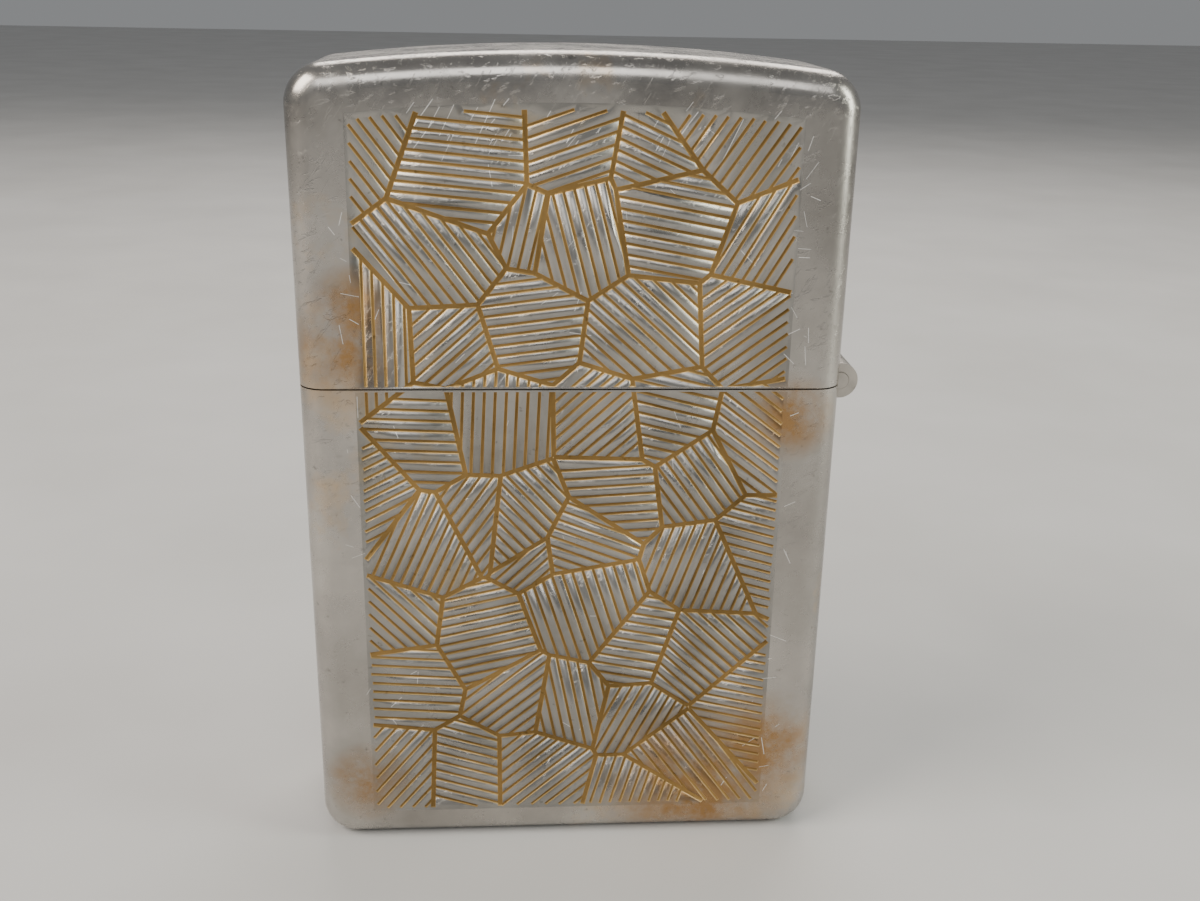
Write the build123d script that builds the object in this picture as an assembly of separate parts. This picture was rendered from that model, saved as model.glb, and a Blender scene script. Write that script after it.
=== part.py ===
from build123d import *
import math
import os

os.makedirs("parts", exist_ok=True)

# Flip-top windproof lighter. Millimetres, +Z up, base plane at z = 0,
# the engraved front faces -Y and the hinge is on the +X side.

# ---- driving dimensions ------------------------------------------------
W = 36.8            # case width without the hinge barrel
D = 12.7            # case depth
H = 57.2            # closed height
SEAM = 35.4         # height of the seam between body and lid
SEAM_GAP = 0.10
WALL = 0.65         # sheet thickness of the case
FLOOR = 0.95        # inside floor height of the case
CORNER_R = 2.6      # corners of the silhouette
EDGE_R = 1.8        # front and back long edges
ARCH_R = 135.0      # radius of the slightly domed lid top
RECESS_X, RECESS_Y, RECESS_D = 29.0, 6.6, 0.28

HX = W / 2 + 0.25   # hinge axis x
BARREL_R = 1.25     # hinge barrel outside radius
BORE_R = 0.63       # hinge barrel bore radius
PIN_R = 0.60        # hinge pin radius
HINGE_Y = 4.3       # half length of the hinge
LEAF_T = 0.45       # hinge leaf thickness
NOTCH_Y, NOTCH_Z = 4.6, 1.42

IN_X0, IN_X1 = -17.6, 17.15   # insert tank outside
IN_Y = 5.55
IN_T = 0.4
IN_Z0 = 3.0
PLATE_Z = 37.8      # top face of the insert top plate
PLATE_T = 0.5

CH_Y0, CH_Y1 = 3.7, 4.2       # chimney side plates, inside and outside
CH_X0, CH_X1 = -4.0, 7.5
CH_H = 16.0

WX, WZ = -8.2, PLATE_Z + 6.6  # flint wheel axis
WHEEL_R = 3.9
WHEEL_HALF = 1.9
CX, CZ = 9.6, PLATE_Z + 3.5   # cam axis
RIVET_R = 0.70

WICK_X, WICK_R = 1.4, 1.3
TUBE_RO, TUBE_RI = 2.10, 1.50
FLINT_R = 1.25


def slab(x0, x1, y0, y1, z0, z1):
    b = Box(x1 - x0, y1 - y0, z1 - z0)
    return Pos((x0 + x1) / 2, (y0 + y1) / 2, (z0 + z1) / 2) * b


def ycyl(x, z, r, y0, y1):
    c = Rot(90, 0, 0) * Cylinder(r, y1 - y0)
    return Pos(x, (y0 + y1) / 2, z) * c


def zcyl(x, y, r, z0, z1):
    return Pos(x, y, (z0 + z1) / 2) * Cylinder(r, z1 - z0)


def xz_prism(pts, y0, y1):
    face = make_face(Polyline(*[(x, 0, z) for x, z in pts], close=True))
    s = extrude(face, amount=(y1 - y0), dir=(0, 1, 0))
    return Pos(0, y0, 0) * s


def envelope(w, z0, ztop, arch, cr, d, er):
    """Rounded case block with a domed top."""
    drop = arch - math.sqrt(arch * arch - (w / 2) ** 2)
    p1, p2 = (-w / 2, 0, z0), (w / 2, 0, z0)
    p3, p4 = (w / 2, 0, ztop - drop), (-w / 2, 0, ztop - drop)
    edges = [Line(p1, p2), Line(p2, p3), ThreePointArc(p3, (0, 0, ztop), p4), Line(p4, p1)]
    s = extrude(make_face(edges), amount=d, dir=(0, 1, 0))
    s = Pos(0, -d / 2, 0) * s
    long_edges = [e for e in s.edges() if abs(e.tangent_at(0.5).Y) > 0.99]
    s = fillet(long_edges, cr)
    ring = [e for e in s.edges()
            if abs(abs(e.center().Y) - d / 2) < 1e-4 and abs(e.tangent_at(0.5).Y) < 0.01]
    return fillet(ring, er)


def save(shape, name):
    shape.label = name
    export_step(shape, f"parts/{name}.step")


# ---- case shell and lid -----------------------------------------------
outer = envelope(W, 0, H, ARCH_R, CORNER_R, D, EDGE_R)
inner = envelope(W - 2 * WALL, FLOOR, H - WALL, ARCH_R - WALL, CORNER_R - WALL,
                 D - 2 * WALL, EDGE_R - WALL)
shell = outer - inner
notch = slab(W / 2 - 1.6, W / 2 + 1, -NOTCH_Y, NOTCH_Y, SEAM - NOTCH_Z, SEAM + NOTCH_Z)
low_half = slab(-30, 30, -20, 20, -5, SEAM - SEAM_GAP / 2)
top_half = slab(-30, 30, -20, 20, SEAM + SEAM_GAP / 2, H + 5)
recess = slab(-RECESS_X / 2, RECESS_X / 2, -RECESS_Y / 2, RECESS_Y / 2, -1, RECESS_D)
recess = fillet([e for e in recess.edges() if abs(e.tangent_at(0.5).Z) > 0.99], 1.5)

case_bottom = (shell & low_half) - notch - recess
case_lid = (shell & top_half) - notch
save(case_bottom, "case_bottom")
save(case_lid, "case_lid")

# ---- hinge: five curled knuckles on two leaves, one pin ------------------
K = 2 * HINGE_Y / 5
GAPK = 0.06
low_segs = [(-HINGE_Y + i * K + (GAPK if i else 0), -HINGE_Y + (i + 1) * K - (GAPK if i < 4 else 0))
            for i in (0, 2, 4)]
top_segs = [(-HINGE_Y + i * K + GAPK, -HINGE_Y + (i + 1) * K - GAPK) for i in (1, 3)]
LX0, LX1 = W / 2 - WALL - LEAF_T, W / 2 - WALL


def knuckle(y0, y1, up):
    ring = ycyl(HX, SEAM, BARREL_R, y0, y1) - ycyl(HX, SEAM, BORE_R, y0 - 1, y1 + 1)
    s = 1 if up else -1
    z0, z1 = sorted((SEAM, SEAM + s * 1.5))
    tongue = slab(LX0, LX1, y0, y1, z0, z1) - ycyl(HX, SEAM, BORE_R, y0 - 1, y1 + 1)
    # the curl stops short of the leaf and leaves a narrow gap
    gap = Pos(HX - 0.52, (y0 + y1) / 2, SEAM + s * 0.82) * (
        Rot(0, s * 35, 0) * Box(0.32, (y1 - y0) + 1, 1.0))
    return (ring - gap) + tongue


low_leaf = slab(LX0, LX1, -HINGE_Y, HINGE_Y, 24.0, SEAM - 1.45)
for a, b in low_segs:
    low_leaf = low_leaf + knuckle(a, b, False)
top_leaf = slab(LX0, LX1, -HINGE_Y, HINGE_Y, SEAM + 1.45, 46.0)
for a, b in top_segs:
    top_leaf = top_leaf + knuckle(a, b, True)
save(low_leaf, "hinge_leaf_lower")
save(top_leaf, "hinge_leaf_upper")
save(ycyl(HX, SEAM, PIN_R, -HINGE_Y - 0.05, HINGE_Y + 0.05), "hinge_pin")

# ---- insert tank ---------------------------------------------------------
def tank(x0, x1, y, z0, z1, r):
    b = slab(x0, x1, -y, y, z0, z1)
    return fillet([e for e in b.edges() if abs(e.tangent_at(0.5).Z) > 0.99], r)


insert_case = tank(IN_X0, IN_X1, IN_Y, IN_Z0, PLATE_Z, 1.3)
insert_case = fillet([e for e in insert_case.edges() if abs(e.center().Z - PLATE_Z) < 1e-4], 0.45)
insert_case = insert_case - tank(IN_X0 + IN_T, IN_X1 - IN_T, IN_Y - IN_T, IN_Z0 - 1, PLATE_Z - PLATE_T, 0.9)
insert_case = insert_case - zcyl(WX, 0, TUBE_RO + 0.02, 30, 40)
insert_case = insert_case - zcyl(WICK_X, 0, WICK_R + 0.5, 30, 40)
insert_case = insert_case - zcyl(5.0, 0, 0.62, 30, 40)
save(insert_case, "insert_case")

# ---- chimney (windscreen) with ears for the wheel and the cam -----------
def side_plate(y0, y1):
    z = PLATE_Z
    main = slab(CH_X0, CH_X1, y0, y1, z, z + CH_H)
    main = fillet([e for e in main.edges() if abs(e.tangent_at(0.5).Y) > 0.99
                   and e.center().Z > z + 1], 1.6)
    ear = xz_prism([(-10.1, z), (-10.35, WZ), (-6.2, WZ + 0.9), (CH_X0 + 0.1, z + 10.4),
                    (CH_X0 + 0.1, z)], y0, y1)
    ear = ear + ycyl(WX, WZ, 2.15, y0, y1)
    cam_ear = xz_prism([(CH_X1 - 0.1, z), (CH_X1 - 0.1, z + 7.6), (CX + 1.2, CZ + 1.75),
                        (CX + 2.1, CZ), (CX + 1.9, z)], y0, y1)
    cam_ear = cam_ear + ycyl(CX, CZ, 2.1, y0, y1)
    p = main + ear + cam_ear
    p = p - ycyl(WX, WZ, RIVET_R + 0.01, y0 - 1, y1 + 1) - ycyl(CX, CZ, RIVET_R + 0.01, y0 - 1, y1 + 1)
    for dz, xs in ((13.3, (-1.4, 1.75, 4.9)), (10.6, (0.175, 3.325)), (7.9, (-1.4, 1.75, 4.9))):
        for x in xs:
            p = p - ycyl(x, z + dz, 0.85, y0 - 1, y1 + 1)
    return p


chimney = side_plate(-CH_Y1, -CH_Y0) + side_plate(CH_Y0, CH_Y1)
for x0, x1, z0 in ((CH_X1 - 0.5, CH_X1, PLATE_Z + 8.2), (CH_X0, CH_X0 + 0.5, PLATE_Z + 10.6)):
    chimney = chimney + slab(x0, x1, -CH_Y1, CH_Y1, z0, PLATE_Z + CH_H - 1.6)
for s in (-1, 1):
    y0, y1 = sorted((s * 2.3, s * 3.8))
    chimney = chimney + slab(-2.6, 6.4, y0, y1, PLATE_Z + 0.01, PLATE_Z + 0.45)
save(chimney, "chimney")

# ---- flint wheel: slanted file teeth, hub bosses, rivet ------------------
wheel = ycyl(WX, WZ, WHEEL_R, -WHEEL_HALF, WHEEL_HALF) + ycyl(WX, WZ, 1.7, -3.6, 3.6)
N_TEETH = 36
for i in range(N_TEETH):
    a = 360.0 * i / N_TEETH
    groove = Pos(WX, 0, WZ) * (Rot(0, a, 0) * (Pos(WHEEL_R, 0, 0) * (
        Rot(0, 45, 0) * Box(0.40, 2 * WHEEL_HALF + 1, 0.40))))
    wheel = wheel - groove
wheel = wheel - ycyl(WX, WZ, RIVET_R + 0.05, -5, 5)
save(wheel, "flint_wheel")


def rivet(x, z):
    r = ycyl(x, z, RIVET_R, -CH_Y1 - 0.01, CH_Y1 + 0.01)
    for s in (-1, 1):
        y0, y1 = sorted((s * (CH_Y1 + 0.01), s * (CH_Y1 + 0.45)))
        h = ycyl(x, z, 1.2, y0, y1)
        h = fillet([e for e in h.edges() if abs(abs(e.center().Y) - CH_Y1 - 0.45) < 1e-3], 0.3)
        r = r + h
    return r


save(rivet(WX, WZ), "wheel_rivet")
save(rivet(CX, CZ), "cam_rivet")

# ---- cam: two cheeks joined by a round heel and a nose bar --------------
cam = None
for s in (-1, 1):
    y0, y1 = sorted((s * 2.7, s * 3.3))
    cheek = ycyl(CX, CZ, 1.75, y0, y1) + xz_prism(
        [(CX - 1.7, CZ + 0.4), (CX + 0.5, CZ + 5.0), (CX + 1.7, CZ + 5.3),
         (CX + 2.0, CZ + 4.4), (CX + 1.7, CZ + 0.4)], y0, y1)
    cam = cheek if cam is None else cam + cheek
cam = cam + ycyl(CX + 1.25, CZ + 4.6, 0.62, -3.0, 3.0)
heel = (ycyl(CX, CZ, 1.75, -3.0, 3.0) - ycyl(CX, CZ, 1.2, -4, 4)) & slab(CX - 3, CX + 3, -4, 4, CZ - 3, CZ + 0.3)
cam = cam + heel
cam = cam - ycyl(CX, CZ, RIVET_R + 0.05, -5, 5)
save(cam, "cam")

# cam spring: a bent strip riveted to the top plate
spring = slab(4.0, 7.2, -1.7, 1.7, PLATE_Z + 0.01, PLATE_Z + 0.31)
spring = spring + xz_prism([(7.0, PLATE_Z + 0.01), (7.2, PLATE_Z + 0.01), (9.6, PLATE_Z + 1.2),
                            (12.6, PLATE_Z + 1.2), (12.6, PLATE_Z + 1.5), (9.5, PLATE_Z + 1.5),
                            (7.1, PLATE_Z + 0.31), (7.0, PLATE_Z + 0.31)], -1.7, 1.7)
spring = spring - zcyl(5.0, 0, 0.62, PLATE_Z - 1, PLATE_Z + 1)
save(spring, "cam_spring")
sr = zcyl(5.0, 0, 0.6, PLATE_Z - PLATE_T - 0.05, PLATE_Z + 0.33) + zcyl(5.0, 0, 0.95, PLATE_Z + 0.32, PLATE_Z + 0.72)
sr = sr + zcyl(5.0, 0, 0.95, PLATE_Z - PLATE_T - 0.4, PLATE_Z - PLATE_T - 0.01)
save(sr, "cam_spring_rivet")

# ---- flint tube, flint, spring, pusher, screw -----------------------------
TUBE_Z0, TUBE_Z1 = 4.8, 39.7
tube = zcyl(WX, 0, TUBE_RO, TUBE_Z0, TUBE_Z1) - zcyl(WX, 0, TUBE_RI, TUBE_Z0 - 1, TUBE_Z1 + 1)
save(tube, "flint_tube")
FLINT_Z1 = WZ - WHEEL_R - 0.1
save(zcyl(WX, 0, FLINT_R, FLINT_Z1 - 5.0, FLINT_Z1), "flint")
pusher = zcyl(WX, 0, FLINT_R, FLINT_Z1 - 6.6, FLINT_Z1 - 5.05) + zcyl(WX, 0, 0.75, FLINT_Z1 - 8.4, FLINT_Z1 - 6.5)
save(pusher, "spring_pusher")
SP_Z0, SP_Z1 = 7.9, FLINT_Z1 - 6.85
helix = Helix(pitch=1.6, height=SP_Z1 - SP_Z0 - 0.2, radius=1.08)
coil = sweep(Plane(origin=helix @ 0, z_dir=helix % 0) * Circle(0.19), path=helix, is_frenet=True)
save(Pos(WX, 0, SP_Z0 + 0.1) * coil, "flint_spring")
screw = zcyl(WX, 0, 2.6, 3.35, 4.6) + zcyl(WX, 0, 1.4, 4.5, 7.6)
screw = fillet([e for e in screw.edges() if abs(e.center().Z - 3.35) < 1e-3], 0.3)
screw = screw - slab(WX - 4, WX + 4, -0.4, 0.4, 2.6, 3.95)
save(screw, "flint_screw")

# ---- wick, packing and felt pad ------------------------------------------
def along(r):
    return zcyl(WICK_X, 0, r, 8.0, 47.4)


save(along(WICK_R), "wick")
pack_box = tank(IN_X0 + IN_T + 0.25, IN_X1 - IN_T - 0.25, IN_Y - IN_T - 0.25, 6.6, 35.6, 2.0)
pack_box = fillet([e for e in pack_box.edges() if abs(e.tangent_at(0.5).Z) < 0.01], 1.5)
pack_box = pack_box - zcyl(WX, 0, TUBE_RO + 0.3, 0, 40) - along(WICK_R + 0.3)
save(pack_box, "cotton_packing")
felt = tank(IN_X0 + IN_T + 0.15, IN_X1 - IN_T - 0.15, IN_Y - IN_T - 0.15, 3.25, 6.2, 0.8)
felt = felt - zcyl(WX, 0, 3.0, 0, 10)
save(felt, "felt_pad")
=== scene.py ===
import bpy
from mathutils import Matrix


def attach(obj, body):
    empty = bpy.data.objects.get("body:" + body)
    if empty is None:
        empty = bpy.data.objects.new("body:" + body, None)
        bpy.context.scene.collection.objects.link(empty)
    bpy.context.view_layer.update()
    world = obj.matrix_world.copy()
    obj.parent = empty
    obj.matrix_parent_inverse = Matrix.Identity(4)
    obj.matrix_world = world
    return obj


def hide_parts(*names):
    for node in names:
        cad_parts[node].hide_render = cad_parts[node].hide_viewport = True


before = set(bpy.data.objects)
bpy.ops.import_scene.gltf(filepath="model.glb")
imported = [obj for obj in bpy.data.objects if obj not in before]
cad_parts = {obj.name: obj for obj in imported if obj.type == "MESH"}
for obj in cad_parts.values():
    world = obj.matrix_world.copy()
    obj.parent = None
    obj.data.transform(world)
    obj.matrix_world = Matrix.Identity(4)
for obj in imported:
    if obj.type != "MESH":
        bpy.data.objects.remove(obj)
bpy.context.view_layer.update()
import bpy, bmesh, math, random
import numpy as np
from mathutils import Vector, Matrix, noise
from mathutils.geometry import delaunay_2d_cdt

W, H, D, SEAM = 36.8, 57.2, 12.7, 35.4


# ---------------------------------------------------------------- materials
def new_mat(name):
    m = bpy.data.materials.new(name)
    m.use_nodes = True
    nt = m.node_tree
    return m, nt, nt.nodes["Principled BSDF"]


def noise_tex(nt, scale, detail=4.0, rough=0.55, stretch=(1, 1, 1), rot=(0, 0, 0)):
    co = nt.nodes.new("ShaderNodeTexCoord")
    mp = nt.nodes.new("ShaderNodeMapping")
    mp.inputs["Scale"].default_value = stretch
    turn = nt.nodes.new("ShaderNodeMapping")
    turn.inputs["Rotation"].default_value = rot
    n = nt.nodes.new("ShaderNodeTexNoise")
    n.inputs["Scale"].default_value = scale
    n.inputs["Detail"].default_value = detail
    n.inputs["Roughness"].default_value = rough
    nt.links.new(co.outputs["Object"], turn.inputs["Vector"])
    nt.links.new(turn.outputs["Vector"], mp.inputs["Vector"])
    nt.links.new(mp.outputs["Vector"], n.inputs["Vector"])
    return n.outputs["Fac"]


def ramp(nt, fac, stops):
    r = nt.nodes.new("ShaderNodeValToRGB")
    e = r.color_ramp.elements
    while len(e) > 1:
        e.remove(e[-1])
    e[0].position, e[0].color = stops[0][0], tuple(stops[0][1]) + (1,)
    for p, c in stops[1:]:
        x = e.new(p)
        x.color = tuple(c) + (1,)
    nt.links.new(fac, r.inputs["Fac"])
    return r.outputs["Color"]


def mix(nt, fac, a, b):
    m = nt.nodes.new("ShaderNodeMix")
    m.data_type = "RGBA"
    nt.links.new(fac, m.inputs[0])
    for i, s in ((6, a), (7, b)):
        if isinstance(s, tuple):
            m.inputs[i].default_value = s + (1,)
        else:
            nt.links.new(s, m.inputs[i])
    return m.outputs[2]


def bumps(nt, bsdf, layers):
    prev = None
    for h, dist, strength in layers:
        b = nt.nodes.new("ShaderNodeBump")
        b.inputs["Distance"].default_value = dist
        b.inputs["Strength"].default_value = strength
        nt.links.new(h, b.inputs["Height"])
        if prev:
            nt.links.new(prev, b.inputs["Normal"])
        prev = b.outputs["Normal"]
    nt.links.new(prev, bsdf.inputs["Normal"])


def grey(v):
    return (v, v, v)


def patch(nt, cx, cy, cz, r):
    co = nt.nodes.new("ShaderNodeTexCoord")
    d = nt.nodes.new("ShaderNodeVectorMath")
    d.operation = "DISTANCE"
    d.inputs[1].default_value = (cx / 1000, cy / 1000, cz / 1000)
    nt.links.new(co.outputs["Object"], d.inputs[0])
    mr = nt.nodes.new("ShaderNodeMapRange")
    mr.inputs["From Min"].default_value = 0.0
    mr.inputs["From Max"].default_value = r / 1000
    mr.inputs["To Min"].default_value = 1.0
    mr.inputs["To Max"].default_value = 0.0
    nt.links.new(d.outputs["Value"], mr.inputs["Value"])
    mul = nt.nodes.new("ShaderNodeMath")
    mul.operation = "MULTIPLY"
    nt.links.new(mr.outputs["Result"], mul.inputs[0])
    nt.links.new(ramp(nt, noise_tex(nt, 260, 6, 0.7), [(0.32, grey(0.1)), (0.62, grey(1.6))]), mul.inputs[1])
    mul.use_clamp = True
    return mul.outputs["Value"]


PATCHES = ((-15.2, -6.3, 38.0, 4.2), (-14.6, -6.3, 41.0, 3.0), (14.9, -6.3, 33.4, 3.4), (9.5, -6.3, 4.0, 8.0), (14.5, -6.3, 7.5, 5.0),
           (-14.8, -6.3, 5.0, 3.5), (-6.0, 6.3, 30.0, 5.0), (12.0, 6.3, 45.0, 4.0))


def metal(name, dark, light, r0, r1, scale=180, scratch=True, spots=None, bump=0.25, patches=()):
    m, nt, p = new_mat(name)
    p.inputs["Metallic"].default_value = 1.0
    cloud = noise_tex(nt, scale, 6)
    col = ramp(nt, cloud, [(0.3, dark), (0.7, light)])
    if spots:
        mask = ramp(nt, noise_tex(nt, 90, 5, 0.65), [(0.60, grey(0)), (0.72, grey(0.75))])
        col = mix(nt, mask, col, spots)
    for q in patches:
        col = mix(nt, patch(nt, *q), col, (0.38, 0.225, 0.10))
    p_specks = ramp(nt, noise_tex(nt, 1500, 3, 0.6), [(0.66, grey(0)), (0.74, grey(0.5))])
    col = mix(nt, p_specks, col, tuple(c * 0.55 for c in dark))
    nt.links.new(col, p.inputs["Base Color"])
    rough = ramp(nt, noise_tex(nt, scale * 2.2, 6, 0.7), [(0.3, grey(r0)), (0.72, grey(r1))])
    nt.links.new(rough, p.inputs["Roughness"])
    layers = [(noise_tex(nt, 2600, 3), 0.00002, bump * 0.6)]
    if scratch:
        layers.append((ramp(nt, noise_tex(nt, 420, 4, 0.5, (9, 9, 1), (0, -0.55, 0.2)),
                            [(0.62, grey(0)), (0.65, grey(1)), (0.67, grey(0))]), 0.00003, bump))
        layers.append((ramp(nt, noise_tex(nt, 360, 4, 0.5, (1, 8, 8), (0, 0.35, 0.3)),
                            [(0.62, grey(0)), (0.655, grey(1)), (0.68, grey(0))]), 0.00003, bump))
    bumps(nt, p, layers)
    return m


chrome = metal("case_chrome", (0.33, 0.31, 0.285), (0.55, 0.52, 0.48), 0.17, 0.38, 120,
               spots=(0.58, 0.43, 0.27), patches=PATCHES, bump=0.25)
lands = metal("engraved_lands", (0.27, 0.26, 0.24), (0.46, 0.44, 0.41), 0.22, 0.44, 150,
              spots=(0.42, 0.33, 0.20), patches=PATCHES, bump=0.35)
nick_m = metal("scratch_bright", (0.80, 0.78, 0.75), (0.95, 0.93, 0.90), 0.45, 0.6, 300, scratch=False)
groove = metal("groove_brass", (0.17, 0.105, 0.035), (0.46, 0.29, 0.105), 0.38, 0.62, 140, scratch=False)
# groove walls: the same brass as the groove floor but lighter, a painted highlight standing in for the bright
# reflections on the groove lips
gwall_painted_highlight = metal("groove_wall_brass_painted_highlight", (0.34, 0.22, 0.08), (0.72, 0.50, 0.24), 0.30, 0.5, 140, scratch=False)
steel = metal("insert_steel", (0.48, 0.47, 0.46), (0.68, 0.67, 0.65), 0.25, 0.45, 160)
hinge_m = metal("hinge_steel", (0.42, 0.39, 0.35), (0.66, 0.62, 0.56), 0.28, 0.5, 300)
wheel_m = metal("wheel_steel", (0.13, 0.125, 0.12), (0.30, 0.29, 0.28), 0.4, 0.6, 500, scratch=False)
brass = metal("rivet_brass", (0.50, 0.36, 0.16), (0.74, 0.57, 0.30), 0.28, 0.45, 300)
flint_m = metal("flint_grey", (0.10, 0.10, 0.11), (0.22, 0.22, 0.23), 0.6, 0.8, 900, scratch=False)


def cloth(name, dark, light, scale):
    m, nt, p = new_mat(name)
    nt.links.new(ramp(nt, noise_tex(nt, scale, 6, 0.7), [(0.3, dark), (0.7, light)]), p.inputs["Base Color"])
    nt.links.new(ramp(nt, noise_tex(nt, scale * 2, 4), [(0.2, grey(0.8)), (0.8, grey(1.0))]), p.inputs["Roughness"])
    p.inputs["Sheen Weight"].default_value = 0.3
    bumps(nt, p, [(noise_tex(nt, scale * 3, 5, 0.7, (1, 1, 5)), 0.0001, 0.6)])
    return m


wick_m = cloth("wick_cotton", (0.55, 0.50, 0.42), (0.86, 0.82, 0.74), 1800)
cotton_m = cloth("packing_cotton", (0.72, 0.70, 0.66), (0.93, 0.92, 0.89), 500)
felt_m = cloth("felt", (0.60, 0.57, 0.52), (0.84, 0.82, 0.78), 900)

MAT = dict(hinge_leaf_lower=hinge_m, hinge_leaf_upper=hinge_m, hinge_pin=hinge_m, insert_case=steel,
           chimney=steel, flint_wheel=wheel_m, wheel_rivet=brass, cam_rivet=brass, cam=steel,
           cam_spring=steel, cam_spring_rivet=brass, flint_tube=brass, flint=flint_m,
           spring_pusher=brass, flint_spring=steel, flint_screw=brass, wick=wick_m,
           cotton_packing=cotton_m, felt_pad=felt_m, case_bottom=chrome, case_lid=chrome)
for n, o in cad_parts.items():
    for i in range(max(1, len(o.material_slots))):
        if not o.material_slots:
            o.data.materials.append(MAT[n])
        else:
            o.material_slots[i].material = MAT[n]


# ---------------------------------------------------------------- engraving
def arch(x):
    return H - (135.0 - math.sqrt(135.0 ** 2 - x * x))


def clip(poly, nx, nz, c):
    """Part of a convex polygon with nx*x + nz*z <= c."""
    out = []
    for i in range(len(poly)):
        a, b = poly[i], poly[(i + 1) % len(poly)]
        da, db = nx * a[0] + nz * a[1] - c, nx * b[0] + nz * b[1] - c
        if da <= 0:
            out.append(a)
        if (da < 0) != (db < 0) and abs(da - db) > 1e-12:
            t = da / (da - db)
            out.append((a[0] + t * (b[0] - a[0]), a[1] + t * (b[1] - a[1])))
    return out


def layout(seed):
    """Cell borders and hatch lines of irregular polygons over the panel: (ax, az, bx, bz, half width)."""
    rnd = random.Random(seed)
    x0, x1, z0, z1 = -14.3, 14.3, 2.7, 53.7
    cols, rows = 5, 9
    seeds = []
    for r in range(rows):
        for c in range(cols):
            seeds.append((x0 + (c + 0.5 + (0.25 if r % 2 else -0.25) + rnd.uniform(-0.42, 0.42)) * (x1 - x0) / cols,
                          z0 + (r + 0.5 + rnd.uniform(-0.42, 0.42)) * (z1 - z0) / rows, rnd.uniform(0, 6.0)))
    frame_poly = [(x0, z0), (x1, z0), (x1, z1 - 0.75), (9.5, z1 - 0.25), (0, z1), (-9.5, z1 - 0.25), (x0, z1 - 0.75)]
    strokes, last = [], None
    for i, (sx, sz, sw) in enumerate(seeds):
        poly = frame_poly
        for j, (tx, tz, tw) in enumerate(seeds):
            if i != j and poly:
                nx, nz = tx - sx, tz - sz
                c = (tx * tx + tz * tz - tw - sx * sx - sz * sz + sw) / 2
                poly = clip(poly, nx, nz, c)
        if len(poly) < 3:
            continue
        for k in range(len(poly)):
            a, b = poly[k], poly[(k + 1) % len(poly)]
            m = ((a[0] + b[0]) / 2, (a[1] + b[1]) / 2)
            on = (abs(m[0] - x0) < 0.02 or abs(m[0] - x1) < 0.02 or abs(m[1] - z0) < 0.02 or m[1] > z1 - 0.03 - 0.75 * min(1, abs(m[0]) / x1) ** 1.0 - 0.0 and m[1] > 52.6)
            if not on and a < b and math.dist(a, b) > 0.3:
                strokes.append((a[0], a[1], b[0], b[1], 0.15))
        ang = rnd.uniform(0, math.pi)
        while last is not None and abs(math.sin(ang - last)) < 0.35:
            ang = rnd.uniform(0, math.pi)
        last = ang
        dx, dz = math.cos(ang), math.sin(ang)
        nx, nz = -dz, dx
        ds = [nx * p[0] + nz * p[1] for p in poly]
        pitch = 0.70 + rnd.uniform(-0.04, 0.04)
        t = min(ds) + 0.45
        while t < max(ds) - 0.35:
            hits = []
            for k in range(len(poly)):
                a, b = poly[k], poly[(k + 1) % len(poly)]
                da, db = nx * a[0] + nz * a[1] - t, nx * b[0] + nz * b[1] - t
                if da * db < 0:
                    s = da / (da - db)
                    hits.append((a[0] + s * (b[0] - a[0]), a[1] + s * (b[1] - a[1])))
            if len(hits) == 2:
                u = sorted(dx * h[0] + dz * h[1] for h in hits)
                ua, ub = u[0] + rnd.uniform(0.0, 0.12), u[1] - rnd.uniform(0.0, 0.12)
                if ub - ua > 0.8:
                    strokes.append((dx * ua + nx * t, dz * ua + nz * t, dx * ub + nx * t, dz * ub + nz * t, 0.082))
            t += pitch + rnd.uniform(-0.025, 0.025)
    return strokes


DEPTH, WALLW = 0.08, 0.035


def rect(s, grow, zmin, zmax):
    ax, az, bx, bz, hw = s
    L = math.hypot(bx - ax, bz - az)
    dx, dz = (bx - ax) / L, (bz - az) / L
    w, e = hw + grow, grow
    p = [(ax - dx * e - dz * w, az - dz * e + dx * w), (ax - dx * e + dz * w, az - dz * e - dx * w),
         (bx + dx * e + dz * w, bz + dz * e - dx * w), (bx + dx * e - dz * w, bz + dz * e + dx * w)]
    p = clip(p, 0, 1, zmax)
    p = clip(p, 0, -1, -zmin) if p else p
    return p if len(p) >= 3 else None


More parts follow.
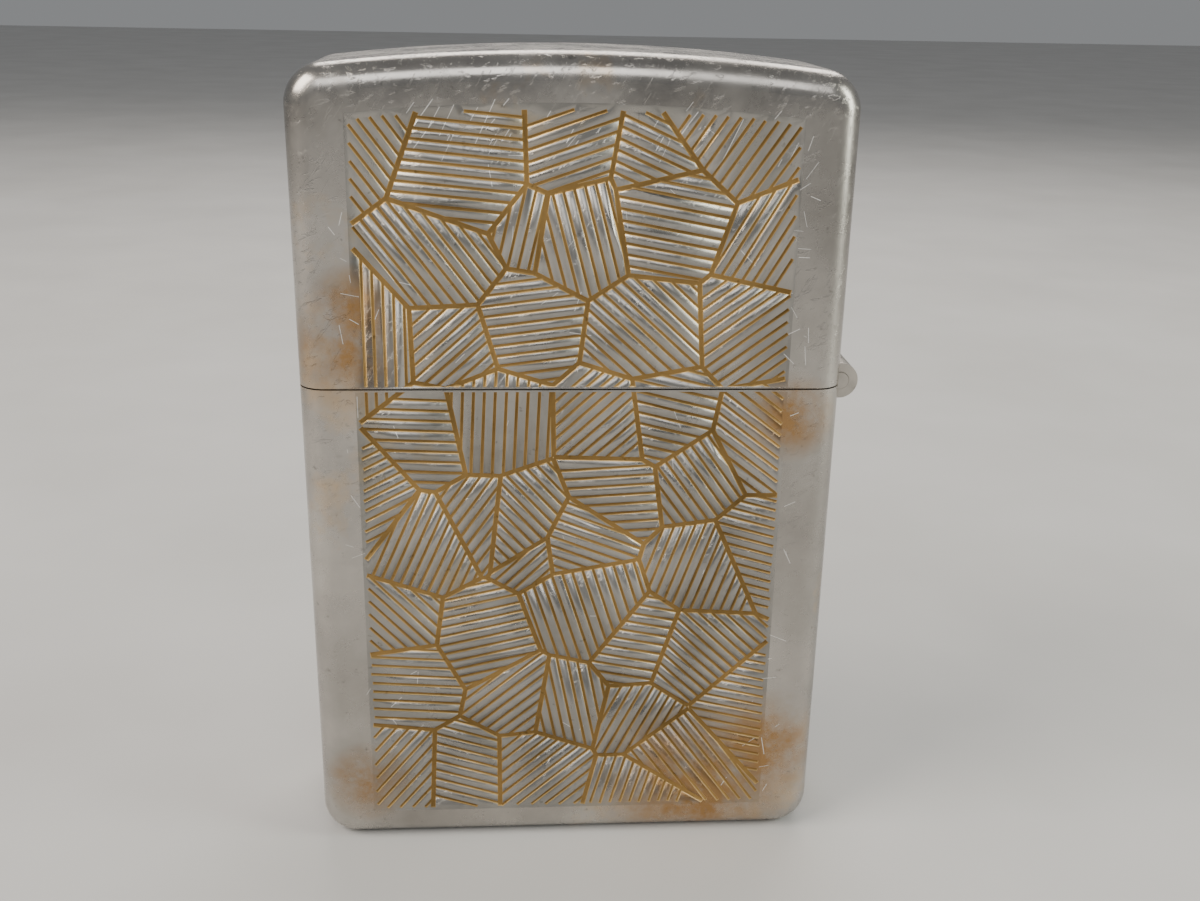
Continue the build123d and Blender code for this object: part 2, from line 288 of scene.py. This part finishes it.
def engrave(node, seeds, zmin, zmax):
    """The shell's own surface with both flat faces cut by real grooves."""
    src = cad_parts[node]
    bm = bmesh.new()
    bm.from_mesh(src.data)
    for v in bm.verts:
        v.co = v.co * 1000.0
    bmesh.ops.remove_doubles(bm, verts=bm.verts, dist=0.0005)
    for side, seed in seeds:
        y = side * D / 2
        flat = [f for f in bm.faces if all(abs(v.co.y - y) < 1e-3 for v in f.verts)]
        fs = set(flat)
        loop_edges = [e for e in bm.edges if sum(1 for f in e.link_faces if f in fs) == 1]
        nxt = {}
        for e in loop_edges:
            for v, w in ((e.verts[0], e.verts[1]), (e.verts[1], e.verts[0])):
                nxt.setdefault(v, []).append(w)
        start = loop_edges[0].verts[0]
        chain, prev, cur = [start], None, start
        while True:
            w = [x for x in nxt[cur] if x is not prev][0]
            if w is start:
                break
            chain.append(w)
            prev, cur = cur, w
        pts = [Vector((v.co.x, v.co.z)) for v in chain]
        if sum(pts[i].x * pts[(i + 1) % len(pts)].y - pts[(i + 1) % len(pts)].x * pts[i].y for i in range(len(pts))) < 0:
            chain.reverse()
            pts.reverse()
        bmesh.ops.delete(bm, geom=flat, context="FACES_ONLY")
        faces = [list(range(len(pts)))]
        inner = []
        for s in layout(seed):
            for grow, lim in ((WALLW, 0.0), (0.0, WALLW)):
                p = rect(s, grow, zmin + lim, zmax - lim)
                if p and not (grow == 0.0 and len(p) < 3):
                    area = sum(p[i][0] * p[(i + 1) % len(p)][1] - p[(i + 1) % len(p)][0] * p[i][1] for i in range(len(p)))
                    if area < 0:
                        p = p[::-1]
                    k = len(pts)
                    pts += [Vector(q) for q in p]
                    faces.append(list(range(k, k + len(p))))
                    if grow == 0.0:
                        inner.append(s)
        top = lambda x: arch(x) - 3.1
        ring = [(-14.55, max(zmin, 2.45)), (14.55, max(zmin, 2.45))]
        if node == "case_lid":
            ring += [(x, min(top(x), 54.1)) for x in np.linspace(14.55, -14.55, 13)]
        else:
            ring += [(14.55, zmax), (-14.55, zmax)]
        k = len(pts)
        pts += [Vector(t) for t in ring]
        faces.append(list(range(k, k + len(ring))))
        nicks = []
        rn = random.Random(seed * 7 + int(zmin))
        if node == "case_lid":
            for q in range(34):
                cx, cz = rn.choice((-9, -5, -1, 6, 9, 13)) + rn.uniform(-1.6, 1.6), rn.uniform(51.0, 54.3)
                a, ln = math.radians(rn.uniform(48, 66)), rn.uniform(0.5, 3.4) * rn.choice((0.4, 1.0))
                nicks.append((cx, cz, math.cos(a), math.sin(a), ln, rn.uniform(0.012, 0.03)))
        for q in range(46):
            cx, cz = rn.uniform(-15.9, 15.9), rn.uniform(zmin + 1, zmax - 1)
            if q % 2:
                cx = rn.choice((-15.2, 15.2)) + rn.uniform(-0.8, 0.8)
            a, ln = rn.uniform(0, math.pi), rn.uniform(0.2, 1.5)
            nicks.append((cx, cz, math.cos(a), math.sin(a), ln, rn.uniform(0.010, 0.024)))
        for cx, cz, dx, dz, ln, hw in nicks:
            q = rect((cx - dx * ln / 2, cz - dz * ln / 2, cx + dx * ln / 2, cz + dz * ln / 2, hw), 0, zmin, 55.0 if node == "case_lid" else zmax)
            if q and all(abs(t[0]) < 15.9 and t[1] < arch(t[0]) - 2.1 and t[1] > 2.1 for t in q):
                k = len(pts)
                pts += [Vector(t) for t in q]
                faces.append(list(range(k, k + len(q))))
        vs, es, fcs, ov, oe, of = delaunay_2d_cdt(pts, [], faces, 1, 1e-4, True)
        P = np.array([(v.x, v.y) for v in vs])
        deep = np.zeros(len(P), bool)
        for ax, az, bx, bz, hw in inner:
            L = math.hypot(bx - ax, bz - az)
            dx, dz = (bx - ax) / L, (bz - az) / L
            u = (P[:, 0] - ax) * dx + (P[:, 1] - az) * dz
            t = -(P[:, 0] - ax) * dz + (P[:, 1] - az) * dx
            deep |= (np.abs(t) <= hw + 1e-3) & (u >= -1e-3) & (u <= L + 1e-3) & (P[:, 1] <= zmax - WALLW + 1e-3) & (P[:, 1] >= zmin + WALLW - 1e-3)
        nb = len(chain)
        made = []
        for i, v in enumerate(vs):
            src_i = [k for k in ov[i] if k < nb]
            if src_i:
                made.append(chain[src_i[0]])
            else:
                made.append(bm.verts.new((v.x, y - side * (DEPTH if deep[i] else 0.0), v.y)))
        for f in fcs:
            q = [made[k] for k in f]
            if len(set(q)) < 3:
                continue
            if side > 0:
                q = q[::-1]
            try:
                nf = bm.faces.new(q)
            except ValueError:
                continue
            d = sum(bool(deep[k]) for k in f)
            # material 3 goes on faces that are partly deep, the groove walls, which carry the lighter brass with the
            # painted highlight
            nf.material_index = 2 if d == len(f) else (3 if d else 1)
            if not d:
                gx, gz = sum(P[k][0] for k in f) / len(f), sum(P[k][1] for k in f) / len(f)
                if abs(gx) > 14.55 or gz < ring[0][1] or (node == "case_lid" and gz > min(top(gx), 54.1)):
                    nf.material_index = 0
                gx, gz = sum(P[k][0] for k in f) / len(f), sum(P[k][1] for k in f) / len(f)
                for cx, cz, dx, dz, ln, hw in nicks:
                    if all(abs((P[k][0] - cx) * dx + (P[k][1] - cz) * dz) < ln / 2 + 2e-3
                           and abs(-(P[k][0] - cx) * dz + (P[k][1] - cz) * dx) < hw + 2e-3 for k in f):
                        nf.material_index = 4
                        break
    wires = [e for e in bm.edges if not e.link_faces]
    bmesh.ops.delete(bm, geom=wires, context="EDGES")
    loose = [v for v in bm.verts if not v.link_faces]
    bmesh.ops.delete(bm, geom=loose, context="VERTS")
    bmesh.ops.recalc_face_normals(bm, faces=bm.faces)
    openish = sum(1 for e in bm.edges if not e.is_manifold)
    for v in bm.verts:
        v.co = v.co / 1000.0
    me = bpy.data.meshes.new(node + "_engraved")
    bm.to_mesh(me)
    bm.free()
    for m in (chrome, lands, groove, gwall_painted_highlight, nick_m):
        me.materials.append(m)
    for p in me.polygons:
        p.use_smooth = p.material_index == 0 and abs(p.normal.y) < 0.9999
    me.set_sharp_from_angle(angle=math.radians(28))
    o = bpy.data.objects.new(node + "_engraved", me)
    bpy.context.scene.collection.objects.link(o)
    print(node, "faces", len(me.polygons), "open edges", openish)
    return o


for node, body, zmin, zmax in (("case_bottom", "case", 2.3, SEAM - 0.17), ("case_lid", "lid", SEAM + 0.17, 54.2)):
    o = engrave(node, ((-1, 11), (1, 23)), zmin, zmax)
    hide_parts(node)
    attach(o, body)


# ---------------------------------------------------------------- soft pieces
def wick_point(t):
    pts = [(1.4, 47.4), (1.4, 38.0), (1.4, 28.0), (1.4, 18.0), (1.4, 8.2)]
    u = t * (len(pts) - 1)
    i = min(int(u), len(pts) - 2)
    f = u - i
    p = [pts[max(0, min(len(pts) - 1, i + k))] for k in (-1, 0, 1, 2)]
    return tuple(0.5 * (2 * p[1][a] + (p[2][a] - p[0][a]) * f + (2 * p[0][a] - 5 * p[1][a] + 4 * p[2][a] - p[3][a]) * f * f
                        + (3 * p[1][a] - p[0][a] - 3 * p[2][a] + p[3][a]) * f ** 3) for a in (0, 1))


for k in range(7):
    cu = bpy.data.curves.new(f"wick_strand_{k}", "CURVE")
    cu.dimensions = "3D"
    cu.bevel_depth = 0.00042 if k < 6 else 0.00052
    cu.bevel_resolution = 3
    cu.use_fill_caps = True
    sp = cu.splines.new("POLY")
    n = 260
    sp.points.add(n - 1)
    for i in range(n):
        t = i / (n - 1)
        x, z = wick_point(t)
        a = t * 26 * math.pi / 2 + k * math.pi / 3
        r = 0.82 if k < 6 else 0.0
        sp.points[i].co = ((x + r * math.cos(a)) / 1000, r * math.sin(a) / 1000, z / 1000, 1)
    ob = bpy.data.objects.new(f"wick_strand_{k}", cu)
    bpy.context.scene.collection.objects.link(ob)
    cu.materials.append(wick_m)
    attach(ob, "insert")
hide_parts("wick")

for node, voxel, amp, mat in (("cotton_packing", 0.0005, 0.00022, cotton_m), ("felt_pad", 0.0003, 0.00008, felt_m)):
    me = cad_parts[node].data.copy()
    o = bpy.data.objects.new(node + "_soft", me)
    bpy.context.scene.collection.objects.link(o)
    bpy.context.view_layer.update()
    md = o.modifiers.new("r", "REMESH")
    md.mode = "VOXEL"
    md.voxel_size = voxel
    dg = bpy.context.evaluated_depsgraph_get()
    m2 = bpy.data.meshes.new_from_object(o.evaluated_get(dg))
    o.modifiers.clear()
    o.data = m2
    nrm = [v.normal.copy() for v in m2.vertices]
    for v, nn in zip(m2.vertices, nrm):
        s = noise.noise(v.co * 900) * 0.6 + noise.noise(v.co * 2400) * 0.4
        v.co = v.co + nn * (amp * (s - 0.6))
    m2.materials.clear()
    m2.materials.append(mat)
    for p in m2.polygons:
        p.use_smooth = True
    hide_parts(node)
    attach(o, "insert")

# ---------------------------------------------------------------- stage
bpy.ops.mesh.primitive_plane_add(size=3.0, location=(0, 0, 0))
floor = bpy.context.object
floor.name = "floor"
fm, nt, p = new_mat("floor_pale")
nt.links.new(ramp(nt, noise_tex(nt, 30, 3), [(0.3, (0.56, 0.55, 0.535)), (0.7, (0.62, 0.61, 0.595))]), p.inputs["Base Color"])
p.inputs["Roughness"].default_value = 0.75
floor.data.materials.append(fm)


def light(name, loc, size, power, color, target=(0, 0, 0.03)):
    ld = bpy.data.lights.new(name, "AREA")
    ld.shape = "RECTANGLE"
    ld.size, ld.size_y = size
    ld.energy = power
    ld.color = color
    lo_ = bpy.data.objects.new(name, ld)
    bpy.context.scene.collection.objects.link(lo_)
    lo_.location = loc
    lo_.rotation_euler = (Vector(target) - Vector(loc)).to_track_quat("-Z", "Y").to_euler()


light("key_left", (-0.30, -0.12, 0.30), (0.25, 0.25), 1.5, (1.0, 0.93, 0.84))
light("top_back", (0.05, 0.28, 0.32), (0.35, 0.2), 1.0, (1.0, 0.95, 0.90))
light("fill_right", (0.34, -0.10, 0.16), (0.12, 0.3), 0.8, (0.97, 1.0, 0.90))
light("front_soft", (0.0, -0.45, 0.42), (0.4, 0.25), 0.9, (1, 1, 1))
world = bpy.data.worlds.new("world")
bpy.context.scene.world = world
world.use_nodes = True
world.node_tree.nodes["Background"].inputs["Color"].default_value = (0.80, 0.82, 0.84, 1)
world.node_tree.nodes["Background"].inputs["Strength"].default_value = 0.30

# ---------------------------------------------------------------- camera
yaw, pitch, roll = math.radians(4.25), math.radians(19.68), math.radians(1.16)
fwd = Vector((math.sin(yaw) * math.cos(pitch), math.cos(yaw) * math.cos(pitch), -math.sin(pitch)))
right = Vector((math.cos(yaw), -math.sin(yaw), 0))
up = right.cross(fwd)
r2 = right * math.cos(roll) + up * math.sin(roll)
u2 = -right * math.sin(roll) + up * math.cos(roll)
cd = bpy.data.cameras.new("camera")
cd.sensor_width = 36.0
cd.lens = 1318.0 * 36.0 / 1200.0
cd.clip_start, cd.clip_end = 0.002, 20
cam = bpy.data.objects.new("camera", cd)
bpy.context.scene.collection.objects.link(cam)
m = Matrix((r2, u2, -fwd)).transposed().to_4x4()
m.translation = Vector((-0.00445, -0.0910, 0.0614))
cam.matrix_world = m
bpy.context.scene.camera = cam
